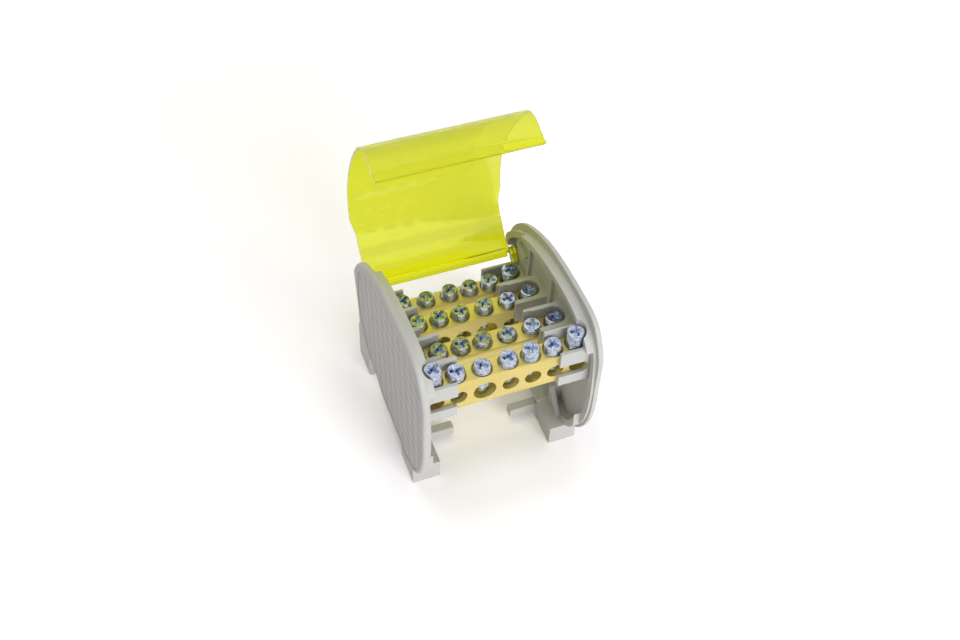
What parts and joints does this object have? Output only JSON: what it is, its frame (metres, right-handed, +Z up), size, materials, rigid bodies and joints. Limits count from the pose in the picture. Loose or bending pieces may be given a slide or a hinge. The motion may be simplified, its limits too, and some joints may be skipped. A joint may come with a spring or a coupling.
{
  "type": "power distribution block",
  "caption": "Stepped brass terminal bars with clamping screws between two grey moulded cheeks, under a hinged clear yellow lid, for rail or panel mounting.",
  "frame": {"origin": "middle of the block's outline in X and Y with the lid open, on the plane of its feet", "axes": "+X to the right along the bars, +Y from the high front bar towards the lid hinge, +Z up from the mounting face"},
  "size_m": [0.06, 0.0856, 0.1053],
  "materials": {
    "housing": "moulded light grey plastic with a grained outside face",
    "clear_lid": "see-through fluorescent yellow sheet, polished",
    "catch": "moulded light grey plastic",
    "brass_bar": "drawn brass, bare",
    "screw_steel": "blue zinc plated steel"
  },
  "bodies": {
    "base": {"left_cheek": "housing", "right_cheek": "housing", "busbar_1": "brass_bar", "busbar_2": "brass_bar", "busbar_3": "brass_bar", "busbar_4": "brass_bar"},
    "lid": {"lid": "clear_lid"},
    "left_catch": {"left_catch": "catch"},
    "right_catch": {"right_catch": "catch"},
    "screw_1_1": {"screw_1_1": "screw_steel"},
    "screw_1_2": {"screw_1_2": "screw_steel"},
    "screw_1_3": {"screw_1_3": "screw_steel"},
    "screw_1_4": {"screw_1_4": "screw_steel"},
    "screw_1_5": {"screw_1_5": "screw_steel"},
    "screw_1_6": {"screw_1_6": "screw_steel"},
    "screw_1_7": {"screw_1_7": "screw_steel"},
    "screw_2_1": {"screw_2_1": "screw_steel"},
    "screw_2_2": {"screw_2_2": "screw_steel"},
    "screw_2_3": {"screw_2_3": "screw_steel"},
    "screw_2_4": {"screw_2_4": "screw_steel"},
    "screw_2_5": {"screw_2_5": "screw_steel"},
    "screw_2_6": {"screw_2_6": "screw_steel"},
    "screw_2_7": {"screw_2_7": "screw_steel"},
    "screw_3_1": {"screw_3_1": "screw_steel"},
    "screw_3_2": {"screw_3_2": "screw_steel"},
    "screw_3_3": {"screw_3_3": "screw_steel"},
    "screw_3_4": {"screw_3_4": "screw_steel"},
    "screw_3_5": {"screw_3_5": "screw_steel"},
    "screw_3_6": {"screw_3_6": "screw_steel"},
    "screw_3_7": {"screw_3_7": "screw_steel"},
    "screw_4_1": {"screw_4_1": "screw_steel"},
    "screw_4_2": {"screw_4_2": "screw_steel"},
    "screw_4_3": {"screw_4_3": "screw_steel"},
    "screw_4_4": {"screw_4_4": "screw_steel"},
    "screw_4_5": {"screw_4_5": "screw_steel"},
    "screw_4_6": {"screw_4_6": "screw_steel"},
    "screw_4_7": {"screw_4_7": "screw_steel"}
  },
  "joints": [
    {"name": "lid_hinge", "type": "hinge", "parent": "base", "child": "lid", "pos_m": [0, 0.02344, 0.036], "axis": [1, 0, 0], "range_deg": [0, 67]},
    {"name": "left_catch_slide", "type": "slide", "parent": "base", "child": "left_catch", "axis": [0, 1, 0], "range_m": [0, 0.0025]},
    {"name": "right_catch_slide", "type": "slide", "parent": "base", "child": "right_catch", "axis": [0, 1, 0], "range_m": [0, 0.0025]},
    {"name": "screw_1_1_travel", "type": "slide", "parent": "base", "child": "screw_1_1", "axis": [0, 0, 1], "range_m": [-0.00368, 0.0001]},
    {"name": "screw_1_2_travel", "type": "slide", "parent": "base", "child": "screw_1_2", "axis": [0, 0, 1], "range_m": [-0.00008, 0.0037]},
    {"name": "screw_1_3_travel", "type": "slide", "parent": "base", "child": "screw_1_3", "axis": [0, 0, 1], "range_m": [-0.00035, 0.0044]},
    {"name": "screw_1_4_travel", "type": "slide", "parent": "base", "child": "screw_1_4", "axis": [0, 0, 1], "range_m": [-0.00008, 0.0037]},
    {"name": "screw_1_5_travel", "type": "slide", "parent": "base", "child": "screw_1_5", "axis": [0, 0, 1], "range_m": [-0.00098, 0.0028]},
    {"name": "screw_1_6_travel", "type": "slide", "parent": "base", "child": "screw_1_6", "axis": [0, 0, 1], "range_m": [-0.00018, 0.0036]},
    {"name": "screw_1_7_travel", "type": "slide", "parent": "base", "child": "screw_1_7", "axis": [0, 0, 1], "range_m": [-0.00328, 0.0005]},
    {"name": "screw_2_1_travel", "type": "slide", "parent": "base", "child": "screw_2_1", "axis": [0, 0, 1], "range_m": [-0.00038, 0.0039]},
    {"name": "screw_2_2_travel", "type": "slide", "parent": "base", "child": "screw_2_2", "axis": [0, 0, 1], "range_m": [-0.00008, 0.0042]},
    {"name": "screw_2_3_travel", "type": "slide", "parent": "base", "child": "screw_2_3", "axis": [0, 0, 1], "range_m": [-0.00028, 0.004]},
    {"name": "screw_2_4_travel", "type": "slide", "parent": "base", "child": "screw_2_4", "axis": [0, 0, 1], "range_m": [-0.00008, 0.0042]},
    {"name": "screw_2_5_travel", "type": "slide", "parent": "base", "child": "screw_2_5", "axis": [0, 0, 1], "range_m": [-0.00055, 0.0047]},
    {"name": "screw_2_6_travel", "type": "slide", "parent": "base", "child": "screw_2_6", "axis": [0, 0, 1], "range_m": [-0.00008, 0.0042]},
    {"name": "screw_2_7_travel", "type": "slide", "parent": "base", "child": "screw_2_7", "axis": [0, 0, 1], "range_m": [-0.00108, 0.0032]},
    {"name": "screw_3_1_travel", "type": "slide", "parent": "base", "child": "screw_3_1", "axis": [0, 0, 1], "range_m": [-0.00038, 0.0039]},
    {"name": "screw_3_2_travel", "type": "slide", "parent": "base", "child": "screw_3_2", "axis": [0, 0, 1], "range_m": [-0.00028, 0.004]},
    {"name": "screw_3_3_travel", "type": "slide", "parent": "base", "child": "screw_3_3", "axis": [0, 0, 1], "range_m": [-0.00018, 0.0041]},
    {"name": "screw_3_4_travel", "type": "slide", "parent": "base", "child": "screw_3_4", "axis": [0, 0, 1], "range_m": [-0.00008, 0.0042]},
    {"name": "screw_3_5_travel", "type": "slide", "parent": "base", "child": "screw_3_5", "axis": [0, 0, 1], "range_m": [-0.00135, 0.0039]},
    {"name": "screw_3_6_travel", "type": "slide", "parent": "base", "child": "screw_3_6", "axis": [0, 0, 1], "range_m": [-0.00008, 0.0042]},
    {"name": "screw_3_7_travel", "type": "slide", "parent": "base", "child": "screw_3_7", "axis": [0, 0, 1], "range_m": [-0.00168, 0.0026]},
    {"name": "screw_4_1_travel", "type": "slide", "parent": "base", "child": "screw_4_1", "axis": [0, 0, 1], "range_m": [-0.00048, 0.0038]},
    {"name": "screw_4_2_travel", "type": "slide", "parent": "base", "child": "screw_4_2", "axis": [0, 0, 1], "range_m": [-0.00148, 0.0028]},
    {"name": "screw_4_3_travel", "type": "slide", "parent": "base", "child": "screw_4_3", "axis": [0, 0, 1], "range_m": [-0.00115, 0.0041]},
    {"name": "screw_4_4_travel", "type": "slide", "parent": "base", "child": "screw_4_4", "axis": [0, 0, 1], "range_m": [-0.00098, 0.0033]},
    {"name": "screw_4_5_travel", "type": "slide", "parent": "base", "child": "screw_4_5", "axis": [0, 0, 1], "range_m": [-0.00058, 0.0037]},
    {"name": "screw_4_6_travel", "type": "slide", "parent": "base", "child": "screw_4_6", "axis": [0, 0, 1], "range_m": [-0.00098, 0.0033]},
    {"name": "screw_4_7_travel", "type": "slide", "parent": "base", "child": "screw_4_7", "axis": [0, 0, 1], "range_m": [-0.00328, 0.001]}
  ]
}
